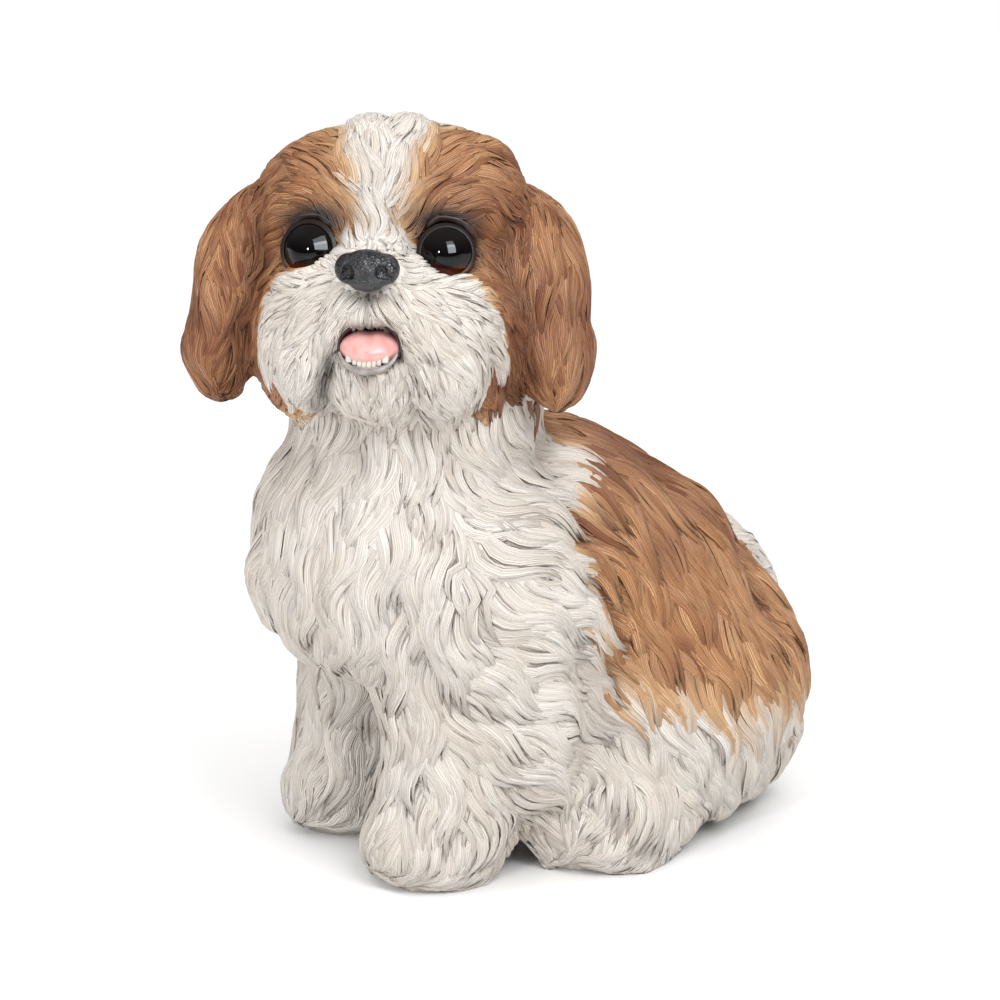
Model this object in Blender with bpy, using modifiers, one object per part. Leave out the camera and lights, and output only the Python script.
"""A painted resin statue of a sitting shih tzu puppy, its head turned to its left.

Metres, +Z up. The dog faces -Y and its left side is +X. Rounded masses are blended into the
head, muzzle, chin, ears, tail and body, and sculpted locks are fused to them along the lie of
the coat. The body is then parted by thin cuts into the pieces that a person would name.
"""

import math
import random

import bpy
from mathutils import Matrix, Vector
from mathutils.bvhtree import BVHTree

# Where the head sits on the body, and how far it is turned to its left and tipped up
HEAD_CENTRE = Vector((-0.0005, -0.051, 0.250))
HEAD_YAW = math.radians(50)
HEAD_PITCH = math.radians(14)

# Eyes and lids, in the head's own axes: x to its left, -y forward, z up
EYE_RADIUS = 0.0130
EYE_PLACE = Vector((0.0258, -0.0400, 0.0047))
EYE_TURN = math.radians(14)
LID_REACH = 0.0068
LID_RADIUS = 0.0112
LID_THICKNESS = 0.0015

# Nose and mouth, in the same axes
NOSE_PLACE = Vector((0, -0.0720, -0.0045))
MOUTH_PLACE = Vector((0, -0.0620, -0.0300))
MOUTH_RADII = Vector((0.0150, 0.0150, 0.0092))
TOOTH_COUNT = 8
TOOTH_WIDTH = 0.0021
TOOTH_HEIGHT = 0.0036
IN_MOUTH = ("tongue", "lower_teeth")

# The clearance that neighbouring pieces keep, and the fineness of the blended masses
GAP = 0.0003
VOXEL = 0.0030
FINE_VOXEL = 0.0020
SMOOTH_SHARE = 0.6
SMOOTH_ROUNDS = 5
FAR = 0.6

# Where the body is cut: the neck's plane, the forelegs and paws, the thighs, and the back
NECK_CUT = Vector((0, -0.045, 0.174))
NECK_TILT = math.radians(12)
CHEST_BACK = -0.012
RUMP_FRONT = 0.072
FORELEG_TOP = 0.080
FORELEG_INNER = 0.004
FOREPAW_TOP = 0.036
THIGH_TOP = 0.108
THIGH_INNER = 0.042
HINDPAW_TOP = 0.040
HINDPAW_BACK = 0.060

# Sculpted locks: where the coat parts on muzzle and brow, rings along each lock, how deep its
# underside sits, and how many places are tried for roots
MUZZLE_WHORL = Vector((0, -0.070, -0.004))
BROW_WHORL = Vector((0, -0.052, 0.000))
LOCK_RINGS = 4
LOCK_SUNK = 0.0022
ROOT_DRAWS = 6000
LEAST_ALONG = 0.5
LOCK_EDGE = 0.4
COAT_GAP = 0.0006

HEAD = (
    Matrix.Translation(HEAD_CENTRE)
    @ Matrix.Rotation(HEAD_YAW, 4, "Z")
    @ Matrix.Rotation(-HEAD_PITCH, 4, "X")
)
HEAD_INVERSE = HEAD.inverted()
HEAD_TURN = HEAD.to_3x3()
BODY = Matrix.Identity(4)
SIDES = ((1, "left"), (-1, "right"))


def clear_scene():
    for old in list(bpy.data.objects):
        bpy.data.objects.remove(old, do_unlink=True)


def only(obj):
    """Selects one object and makes it the active one."""
    bpy.ops.object.select_all(action="DESELECT")
    obj.select_set(True)
    bpy.context.view_layer.objects.active = obj


def apply_all(obj):
    """Makes an object's modifiers part of its mesh."""
    only(obj)
    for name in [modifier.name for modifier in obj.modifiers]:
        bpy.ops.object.modifier_apply(modifier=name)


def joined(pieces, name):
    """Several objects made one, their meshes still overlapping."""
    bpy.ops.object.select_all(action="DESELECT")
    for piece in pieces:
        piece.select_set(True)
    bpy.context.view_layer.objects.active = pieces[0]
    if len(pieces) > 1:
        bpy.ops.object.join()
    whole = bpy.context.object
    whole.name = name
    return whole


def turned(turn):
    """A rotation from three angles in degrees, about X, then Y, then Z."""
    x, y, z = (math.radians(a) for a in turn)
    return (
        Matrix.Rotation(z, 4, "Z") @ Matrix.Rotation(y, 4, "Y") @ Matrix.Rotation(x, 4, "X")
    )


def lump(frame, centre, radii, turn=(0, 0, 0), fineness=4):
    """One rounded mass: a sphere stretched to three radii, turned, and set in a frame."""
    bpy.ops.mesh.primitive_ico_sphere_add(subdivisions=fineness, radius=1)
    ball = bpy.context.object
    stretch = Matrix.Diagonal((*radii, 1))
    ball.data.transform(frame @ Matrix.Translation(Vector(centre)) @ turned(turn) @ stretch)
    return ball


def both(frame, centre, radii, turn=(0, 0, 0)):
    """The same mass on the left and on the right."""
    x, y, z = centre
    a, b, c = turn
    return [
        lump(frame, (x, y, z), radii, (a, b, c)),
        lump(frame, (-x, y, z), radii, (a, -b, -c)),
    ]


def blended(balls, name, faces, voxel=VOXEL, rounds=SMOOTH_ROUNDS):
    """Overlapping masses blended into one closed soft body of about so many triangles."""
    body = joined(balls, name)
    remesh = body.modifiers.new("Grid", "REMESH")
    remesh.mode = "VOXEL"
    remesh.voxel_size = voxel
    soften = body.modifiers.new("Soften", "SMOOTH")
    soften.factor = SMOOTH_SHARE
    soften.iterations = rounds
    apply_all(body)
    thin = body.modifiers.new("Thin", "DECIMATE")
    thin.ratio = min(1.0, faces / (2 * len(body.data.polygons)))
    thin.use_collapse_triangulate = True
    apply_all(body)
    return body


def copy_of(obj, name):
    twin = obj.copy()
    twin.data = obj.data.copy()
    twin.name = name
    bpy.context.collection.objects.link(twin)
    return twin


def remove(*objects):
    for obj in objects:
        bpy.data.objects.remove(obj, do_unlink=True)


def largest_part(obj):
    """Keeps an object's largest closed surface and drops loose scraps."""
    name = obj.name
    only(obj)
    bpy.ops.object.mode_set(mode="EDIT")
    bpy.ops.mesh.select_all(action="SELECT")
    bpy.ops.mesh.separate(type="LOOSE")
    bpy.ops.object.mode_set(mode="OBJECT")
    scraps = sorted(bpy.context.selected_objects, key=lambda o: -len(o.data.polygons))
    remove(*scraps[1:])
    scraps[0].name = name
    return scraps[0]


def boolean(obj, other, operation):
    """Cuts or joins with another mesh object, or with all those of a collection, for good."""
    modifier = obj.modifiers.new(operation, "BOOLEAN")
    modifier.operation = operation
    modifier.solver = "MANIFOLD"
    if isinstance(other, bpy.types.Collection):
        modifier.operand_type = "COLLECTION"
        modifier.collection = other
    else:
        modifier.object = other
    apply_all(obj)


def in_triangles(obj):
    """Splits every face of an object into flat triangles, so that its cuts are exact."""
    obj.modifiers.new("Flat", "TRIANGULATE")
    apply_all(obj)


def swollen(obj, by=GAP):
    """A copy of an object, a little larger all round, to cut its neighbour with."""
    cutter = copy_of(obj, obj.name + "_cutter")
    swell = cutter.modifiers.new("Swell", "DISPLACE")
    swell.strength = by
    swell.mid_level = 0
    apply_all(cutter)
    return cutter


def cut_back(obj, *cutters):
    """Cuts a piece back from the swollen copies of its neighbours."""
    for cutter in cutters:
        boolean(obj, cutter, "DIFFERENCE")
    return largest_part(obj)


def block(low, high, frame=BODY):
    """A box between two corners, for a cut."""
    bpy.ops.mesh.primitive_cube_add(size=1)
    box = bpy.context.object
    low, high = Vector(low), Vector(high)
    stretch = Matrix.Diagonal((*(high - low), 1))
    box.data.transform(frame @ Matrix.Translation((low + high) / 2) @ stretch)
    return box


# The masses of each part

def head_masses():
    h = HEAD
    return [
        lump(h, (0, 0.006, 0.002), (0.056, 0.054, 0.056)),
        lump(h, (0, -0.006, 0.029), (0.046, 0.042, 0.033)),
        *both(h, (0.024, -0.002, 0.023), (0.033, 0.044, 0.034)),
        *both(h, (0.025, -0.034, 0.024), (0.020, 0.014, 0.010), (0, 12, 0)),
        *both(h, (0.034, -0.010, -0.024), (0.024, 0.034, 0.040)),
        lump(h, (0, -0.012, -0.040), (0.036, 0.034, 0.022)),
        lump(h, (0, -0.040, -0.001), (0.018, 0.024, 0.018)),
        lump(h, (0, 0.034, -0.006), (0.044, 0.032, 0.048)),
    ]


def muzzle_masses():
    h = HEAD
    return [
        lump(h, (0, -0.049, -0.006), (0.023, 0.020, 0.012)),
        lump(h, (0, -0.051, -0.020), (0.026, 0.017, 0.013)),
        *both(h, (0.020, -0.046, -0.018), (0.020, 0.018, 0.017)),
        *both(h, (0.028, -0.039, -0.031), (0.019, 0.020, 0.031), (0, 10, 0)),
    ]


def chin_masses():
    h = HEAD
    return [
        lump(h, (0, -0.040, -0.048), (0.024, 0.022, 0.015)),
        lump(h, (0, -0.052, -0.044), (0.016, 0.012, 0.008)),
    ]


def ear_masses(side):
    h = HEAD
    s = side
    return [
        lump(h, (s * 0.047, -0.002, 0.020), (0.017, 0.024, 0.020), (0, s * 38, 0)),
        lump(h, (s * 0.059, -0.004, 0.006), (0.014, 0.027, 0.024), (0, s * 20, 0)),
        lump(h, (s * 0.067, -0.006, -0.014), (0.013, 0.028, 0.029), (0, s * 10, 0)),
        lump(h, (s * 0.070, -0.008, -0.035), (0.014, 0.027, 0.023), (0, s * 4, 0)),
    ]


def body_masses():
    b = BODY
    return [
        lump(b, (0, -0.042, 0.192), (0.056, 0.052, 0.045)),
        lump(b, (0, -0.050, 0.137), (0.069, 0.058, 0.062)),
        lump(b, (-0.006, -0.078, 0.120), (0.044, 0.029, 0.038)),
        *both(b, (0.042, -0.034, 0.116), (0.036, 0.044, 0.062)),
        lump(b, (0, 0.012, 0.114), (0.073, 0.070, 0.068)),
        lump(b, (0, 0.050, 0.095), (0.075, 0.063, 0.066)),
        lump(b, (0, 0.082, 0.065), (0.077, 0.058, 0.060)),
        lump(b, (0, 0.088, 0.030), (0.065, 0.050, 0.036)),
        lump(b, (0, 0.032, 0.056), (0.056, 0.050, 0.056)),
        lump(b, (0.036, -0.046, 0.070), (0.030, 0.030, 0.058)),
        lump(b, (0.036, -0.050, 0.034), (0.030, 0.030, 0.034)),
        lump(b, (0.036, -0.055, 0.017), (0.032, 0.034, 0.021)),
        lump(b, (-0.034, -0.044, 0.070), (0.027, 0.030, 0.058)),
        lump(b, (-0.036, -0.047, 0.034), (0.027, 0.029, 0.034)),
        lump(b, (-0.038, -0.051, 0.017), (0.030, 0.033, 0.020)),
        *both(b, (0.048, -0.022, 0.064), (0.026, 0.034, 0.046)),
        *both(b, (0.050, 0.058, 0.057), (0.035, 0.057, 0.055)),
        *both(b, (0.057, 0.022, 0.020), (0.030, 0.041, 0.026)),
    ]


def tail_masses():
    b = BODY
    return [
        lump(b, (-0.004, 0.127, 0.050), (0.021, 0.020, 0.026)),
        lump(b, (-0.008, 0.134, 0.076), (0.021, 0.018, 0.026)),
        lump(b, (-0.014, 0.122, 0.099), (0.023, 0.022, 0.021)),
        lump(b, (-0.020, 0.104, 0.113), (0.019, 0.021, 0.015)),
    ]


# The lie of the coat: the direction that it takes at a place

def blend_in(value, start, end):
    """0 before start, 1 past end, and a straight line between."""
    return max(0.0, min(1.0, (value - start) / (end - start)))


def muzzle_lie(place):
    """Out from the nose, and falling more the further to the side."""
    local = HEAD_INVERSE @ place
    out = (local - MUZZLE_WHORL).normalized()
    fall = Vector((0, 0, -0.6 - 16 * abs(local.x)))
    return HEAD_TURN @ (out + fall)


def head_lie(place):
    """Up from between the eyes and over the brow, then back and down the sides."""
    local = HEAD_INVERSE @ place
    out = (local - BROW_WHORL).normalized()
    fall = Vector((0, 0.3, -1)) * (abs(local.x) / 0.046) ** 2
    behind = Vector((0, 0.4, -1)) * blend_in(local.y, 0.005, 0.025)
    return HEAD_TURN @ (out + fall + behind)


def chin_lie(place):
    local = HEAD_INVERSE @ place
    return HEAD_TURN @ Vector((14 * local.x, -0.1, -1))


def ear_lie(place):
    local = HEAD_INVERSE @ place
    return HEAD_TURN @ Vector((0, 8 * local.y, -1))


def body_lie(place):
    """Down the chest, down and back over the shoulders and flanks, and out over the paws."""
    side = 5 * place.x
    back = 0.1 + 0.8 * blend_in(place.y, -0.06, -0.01)
    low = blend_in(-place.z, -0.075, -0.035)
    back += low * (12 * (place.y + 0.045) * blend_in(-place.y, 0.0, 0.02) - 0.7 * back)
    return Vector((side, back, -1))


def tail_lie(place):
    """Up the plume, then forward over the rump where it curls."""
    curl = blend_in(place.z, 0.05, 0.11)
    return Vector((-0.2, 0.3 - 1.3 * curl, 1 - 0.9 * curl))


def lock_mesh(path, width, rise, swell):
    """A flat tapered lock along steps of (place, normal, heading), four sides to a ring."""
    last = len(path) - 1
    points = []
    for i, (place, normal, heading) in enumerate(path[:-1]):
        along = i / last
        swelling = 0.55 + 0.45 * math.sin(math.pi * min(1, along / 0.8))
        half = 0.5 * width * swelling * (1 - along ** 5) + swell
        side = heading.cross(normal).normalized() * half
        lift = rise * (0.25 + 0.75 * min(1.0, 1.5 * along))
        points += [
            place - side + normal * LOCK_EDGE * lift,
            place + normal * (lift + swell),
            place + side + normal * LOCK_EDGE * lift,
            place - normal * (LOCK_SUNK + swell),
        ]
    tip, normal, heading = path[-1]
    points.append(tip + normal * LOCK_EDGE * rise + heading * 2 * swell)
    faces = [(3, 2, 1), (3, 1, 0)]
    for ring in range(0, 4 * (last - 1), 4):
        for k in range(4):
            a, b = ring + k, ring + (k + 1) % 4
            faces += [(a, b, b + 4), (a, b + 4, a + 4)]
    end = 4 * (last - 1)
    faces += [(end + k, end + (k + 1) % 4, len(points) - 1) for k in range(4)]
    mesh = bpy.data.meshes.new("lock")
    mesh.from_pydata(points, [], faces)
    return mesh


def lock_path(tree, root, lie, length, swing):
    """Steps over the surface from a root along the lie, swinging in a slow wave."""
    path = []
    place = root
    for i in range(LOCK_RINGS + 1):
        place, normal, _, _ = tree.find_nearest(place)
        heading = lie(place)
        heading = (heading - normal * heading.dot(normal)).normalized()
        heading.rotate(Matrix.Rotation(swing * math.cos(4.0 * i / LOCK_RINGS), 3, normal))
        path.append((place, normal, heading))
        place = place + heading * length / LOCK_RINGS
    return path


def runs_smoothly(path):
    """Whether a lock neither doubles back nor bends sharply over an edge."""
    steps = zip(path, path[1:])
    return all(
        a[2].dot(b[2]) > LEAST_ALONG and a[1].dot(b[1]) > LEAST_ALONG and (b[0] - a[0]).dot(a[2]) > 0
        for a, b in steps
    )


def scattered(mesh, count, rng):
    """Points drawn at random over a mesh, as many to each face as its area asks."""
    mesh.calc_loop_triangles()
    triangles = list(mesh.loop_triangles)
    for triangle in rng.choices(triangles, [t.area for t in triangles], k=count):
        a, b, c = (mesh.vertices[i].co for i in triangle.vertices)
        u, v = rng.random(), rng.random()
        if u + v > 1:
            u, v = 1 - u, 1 - v
        yield a + (b - a) * u + (c - a) * v


def lock_roots(body, spacing, rng, grows):
    """Places spread evenly over a body, a spacing or more apart, where the coat grows."""
    kept = []
    for place in scattered(body.data, ROOT_DRAWS, rng):
        if grows(place) and all((place - other).length > spacing for other in kept):
            kept.append(place)
    return kept


def everywhere(place):
    return True


def fused(body, paths, width, rise, swell):
    """Joins a lock along each path to a body, all of it swollen by so much."""
    coat = bpy.data.collections.new(body.name + "_coat")
    for size, path in paths:
        mesh = lock_mesh(path, width * size, rise * size, swell)
        coat.objects.link(bpy.data.objects.new("lock", mesh))
    boolean(body, coat, "UNION")
    remove(*coat.objects)
    bpy.data.collections.remove(coat)
    return largest_part(body)


def coated(body, lie, spacing, length, width, rise, seed, grows=everywhere):
    """Fuses tapered locks to a body along its lie, and makes a cutter that is GAP larger."""
    rng = random.Random(seed)
    tree = BVHTree.FromObject(body, bpy.context.evaluated_depsgraph_get())
    paths = []
    for root in lock_roots(body, spacing, rng, grows):
        size = rng.uniform(0.85, 1.2)
        path = lock_path(tree, root, lie, length * size, rng.uniform(-0.5, 0.5))
        if runs_smoothly(path):
            paths.append((size, path))
    cutter = fused(swollen(body, COAT_GAP), paths, width, rise, COAT_GAP)
    return fused(body, paths, width, rise, 0), cutter


# Parting the body

def parted(whole, low, high, name, frame=BODY):
    """Takes what lies in a box off a whole as its own piece, with the gap left between them."""
    piece = copy_of(whole, name)
    inside = block(low, high, frame)
    margin = Vector((GAP, GAP, GAP))
    around = block(Vector(low) - margin, Vector(high) + margin, frame)
    boolean(piece, inside, "INTERSECT")
    boolean(whole, around, "DIFFERENCE")
    remove(inside, around)
    return largest_part(piece)


def part_limbs(body, side, name):
    """Takes one foreleg and its paw, and one thigh and its paw, off the body."""
    inner, outer = sorted((side * FORELEG_INNER, side * FAR))
    leg = parted(body, (inner, -FAR, -FAR), (outer, CHEST_BACK, FORELEG_TOP), "foreleg_" + name)
    parted(leg, (-FAR, -FAR, -FAR), (FAR, FAR, FOREPAW_TOP), "forepaw_" + name)
    largest_part(leg)
    inner, outer = sorted((side * THIGH_INNER, side * FAR))
    thigh = parted(body, (inner, CHEST_BACK, -FAR), (outer, FAR, THIGH_TOP), "thigh_" + name)
    parted(thigh, (-FAR, -FAR, -FAR), (FAR, HINDPAW_BACK, HINDPAW_TOP), "hindpaw_" + name)
    largest_part(thigh)


def part_body(body):
    """Cuts the body into neck, limbs, rump, back and chest, and returns the neck."""
    plane = Matrix.Translation(NECK_CUT) @ Matrix.Rotation(NECK_TILT, 4, "X")
    neck = parted(body, (-FAR, -FAR, 0), (FAR, FAR, FAR), "neck", plane)
    for side, name in SIDES:
        part_limbs(body, side, name)
    parted(body, (-FAR, RUMP_FRONT, -FAR), (FAR, FAR, FAR), "rump")
    parted(body, (-FAR, CHEST_BACK, -FAR), (FAR, FAR, FAR), "back")
    chest = largest_part(body)
    chest.name = "chest"
    return neck


# The face

def eye_frame(side):
    place = Vector((side * EYE_PLACE.x, EYE_PLACE.y, EYE_PLACE.z))
    return HEAD @ Matrix.Translation(place) @ Matrix.Rotation(side * EYE_TURN, 4, "Z")


def build_eye(side, name):
    """A ball of polished glass, its pole facing out."""
    bpy.ops.mesh.primitive_uv_sphere_add(segments=14, ring_count=8, radius=EYE_RADIUS)
    eye = bpy.context.object
    eye.data.transform(eye_frame(side) @ Matrix.Rotation(math.pi / 2, 4, "X"))
    eye.name = name
    in_triangles(eye)
    return eye


def build_lid(side, name, eye):
    """The modelled rim of the lids, a ring lying on the front of the eye."""
    bpy.ops.mesh.primitive_torus_add(
        major_segments=16,
        minor_segments=4,
        major_radius=LID_RADIUS,
        minor_radius=LID_THICKNESS,
    )
    lid = bpy.context.object
    tip = Matrix.Rotation(math.pi / 2, 4, "X")
    lid.data.transform(eye_frame(side) @ Matrix.Translation((0, -LID_REACH, 0)) @ tip)
    lid.name = name
    in_triangles(lid)
    cutter = swollen(eye)
    cut_back(lid, cutter)
    remove(cutter)
    return lid


def build_nose():
    """The leathery nose: a middle, two wings, a lower lobe, and nostrils cut in."""
    h = HEAD @ Matrix.Translation(NOSE_PLACE)
    nose = blended([
        lump(h, (0, 0, 0.0010), (0.0095, 0.0080, 0.0078)),
        lump(h, (0, 0.0020, -0.0050), (0.0060, 0.0065, 0.0050)),
        *both(h, (0.0070, 0.0010, 0.0010), (0.0062, 0.0072, 0.0070)),
    ], "nose", 180, 0.0008, 3)
    for side, _ in SIDES:
        centre = (side * 0.0072, -0.0062, -0.0012)
        nostril = lump(h, centre, (0.0024, 0.0040, 0.0030), (0, side * 25, 0), 2)
        boolean(nose, nostril, "DIFFERENCE")
        remove(nostril)
    return largest_part(nose)


def mouth_hollow(by=0.0, fineness=3):
    return lump(HEAD, MOUTH_PLACE, [r - by for r in MOUTH_RADII], (0, 0, 0), fineness)


def build_tongue():
    """The tongue lies in the mouth's hollow, a low dome to its front edge."""
    tongue = mouth_hollow(GAP)
    tongue.name = "tongue"
    x, y, z = MOUTH_PLACE
    bed = lump(HEAD, (x, y + 0.0030, z - 0.0030), (0.0125, 0.0150, 0.0078), (-8, 0, 0), 2)
    boolean(tongue, bed, "INTERSECT")
    remove(bed)
    return largest_part(tongue)


def build_teeth(tongue):
    """A row of small lower teeth on a curved gum, in front of the tongue."""
    x, y, z = MOUTH_PLACE
    teeth = [lump(HEAD, (x, y - 0.0085, z - 0.0066), (0.0098, 0.0036, 0.0026))]
    middle = (TOOTH_COUNT - 1) / 2
    for i in range(TOOTH_COUNT):
        across = (i - middle) * TOOTH_WIDTH
        tall = TOOTH_HEIGHT * (1.35 if abs(i - middle) == middle else 1.0)
        place = (across, y - 0.0100 + 20 * across ** 2, z - 0.0044 + 3 * across ** 2)
        teeth.append(lump(HEAD, place, (TOOTH_WIDTH * 0.56, 0.0015, tall * 0.62)))
    row = blended(teeth, "lower_teeth", 240, 0.0005, 1)
    room = mouth_hollow(GAP)
    boolean(row, room, "INTERSECT")
    cutter = swollen(tongue)
    row = cut_back(row, cutter)
    remove(room, cutter)
    return row


def build_features():
    """Eyes, lids, nose, tongue and teeth, by name."""
    features = {"nose": build_nose(), "tongue": build_tongue()}
    features["lower_teeth"] = build_teeth(features["tongue"])
    for side, name in SIDES:
        eye = build_eye(side, "eye_" + name)
        features["eye_" + name] = eye
        features["eyelid_" + name] = build_lid(side, "eyelid_" + name, eye)
    return features


# Paint and glass: each slot's colour and roughness, and the pieces that aren't white

SLOTS = {
    "white_coat": ((0.72, 0.68, 0.62, 1), 0.55),
    "brown_coat": ((0.33, 0.14, 0.05, 1), 0.50),
    "black_gloss": ((0.010, 0.010, 0.012, 1), 0.25),
    "eye_glass": ((0.015, 0.006, 0.004, 1), 0.03),
    "tongue_pink": ((0.75, 0.30, 0.27, 1), 0.35),
    "tooth_white": ((0.80, 0.76, 0.68, 1), 0.30),
}
NOT_WHITE = {
    "head": "brown_coat",
    "ear_left": "brown_coat",
    "ear_right": "brown_coat",
    "back": "brown_coat",
    "eye_left": "eye_glass",
    "eye_right": "eye_glass",
    "eyelid_left": "black_gloss",
    "eyelid_right": "black_gloss",
    "nose": "black_gloss",
    "tongue": "tongue_pink",
    "lower_teeth": "tooth_white",
}


def painted(slot):
    made = bpy.data.materials.get(slot)
    if made is None:
        made = bpy.data.materials.new(slot)
        made.use_nodes = True
        shader = made.node_tree.nodes["Principled BSDF"]
        colour, rough = SLOTS[slot]
        shader.inputs["Base Color"].default_value = colour
        shader.inputs["Roughness"].default_value = rough
        shader.inputs["Metallic"].default_value = 0
        made.diffuse_color = colour
    return made


def stand_on_origin(pieces):
    """Moves all the pieces so that the middle of the box's underside is the origin."""
    corners = [v.co for piece in pieces for v in piece.data.vertices]
    low = Vector(min(c[k] for c in corners) for k in range(3))
    high = Vector(max(c[k] for c in corners) for k in range(3))
    shift = Matrix.Translation((-(low.x + high.x) / 2, -(low.y + high.y) / 2, -low.z))
    for piece in pieces:
        piece.data.transform(shift)


def on_muzzle(place):
    """The muzzle's outside: its back half lies inside the head."""
    local = HEAD_INVERSE @ place
    return local.y < -0.036 and not (abs(local.x) < 0.012 and local.z > -0.045)


def on_head(place):
    """The head's outside, clear of eyes, muzzle and neck."""
    local = HEAD_INVERSE @ place
    covered = abs(local.x) < 0.050 and local.y < -0.030 and local.z < 0.018
    under_ear = abs(local.x) > 0.046 and abs(local.y + 0.004) < 0.020 and local.z < 0.020
    return not covered and not under_ear and local.z > -0.045


def on_chin(place):
    local = HEAD_INVERSE @ place
    return local.y < -0.040 and -0.060 < local.z < -0.044 and abs(local.x) < 0.020


def on_ear(place):
    """The ear's outside: its inner face lies against the head."""
    return abs((HEAD_INVERSE @ place).x) > 0.060


def on_tail(place):
    """The plume's outside: its root and inner face lie against the rump."""
    return place.y > 0.118 or place.z > 0.112


def on_body(place):
    """The body's outside: not the neck's top, the floor, or where the tail lies."""
    under_tail = place.y > 0.100 and abs(place.x + 0.010) < 0.020
    return 0.022 < place.z < 0.190 and not under_tail


def build_head(features):
    """Head, muzzle, chin and ears, each cut back from what lies over it, and their cutters."""
    muzzle = blended(muzzle_masses(), "muzzle", 220, FINE_VOXEL)
    muzzle, off_muzzle = coated(muzzle, muzzle_lie, 0.020, 0.034, 0.018, 0.0032, 5, on_muzzle)
    head = blended(head_masses(), "head", 360)
    head, off_head = coated(head, head_lie, 0.0305, 0.051, 0.027, 0.0034, 9, on_head)
    chin = blended(chin_masses(), "chin", 120, FINE_VOXEL)
    chin, off_chin = coated(chin, chin_lie, 0.013, 0.020, 0.012, 0.0020, 8, on_chin)
    off_ears = []
    for side, name in SIDES:
        ear = blended(ear_masses(side), "ear_" + name, 150)
        ear, off_ear = coated(ear, ear_lie, 0.024, 0.052, 0.021, 0.0030, 6, on_ear)
        cut_back(ear, off_muzzle)
        off_ears.append(off_ear)
    hollow = mouth_hollow()
    off_front = [swollen(f) for name, f in features.items() if name not in IN_MOUTH]
    muzzle = cut_back(muzzle, hollow, *off_front)
    cut_back(chin, hollow, off_muzzle, muzzle)
    head = cut_back(head, hollow, off_muzzle, off_chin, *off_ears, *off_front)
    remove(hollow, *off_front)
    return [off_head, off_muzzle, off_chin, *off_ears], head


def build_body(off_head_pieces, head):
    """Body and tail, cut flat at the floor and parted into named pieces."""
    tail = blended(tail_masses(), "tail", 150)
    tail, off_tail = coated(tail, tail_lie, 0.024, 0.050, 0.021, 0.0030, 7, on_tail)
    body = blended(body_masses(), "body", 1060)
    body, off_body = coated(body, body_lie, 0.0395, 0.074, 0.0365, 0.0044, 3, on_body)
    floor = block((-FAR, -FAR, -FAR), (FAR, FAR, 0))
    body = cut_back(body, floor, off_tail)
    neck = part_body(body)
    cut_back(neck, *off_head_pieces, head)
    remove(floor, off_body, off_tail, *off_head_pieces)


def main():
    clear_scene()
    features = build_features()
    off_head_pieces, head = build_head(features)
    build_body(off_head_pieces, head)
    statue = bpy.data.collections.new("shih_tzu_statue")
    bpy.context.scene.collection.children.link(statue)
    pieces = [obj for obj in bpy.context.scene.objects if obj.type == "MESH"]
    stand_on_origin(pieces)
    for piece in pieces:
        for old in list(piece.users_collection):
            old.objects.unlink(piece)
        statue.objects.link(piece)
        piece.data.materials.clear()
        piece.data.materials.append(painted(NOT_WHITE.get(piece.name, "white_coat")))


main()
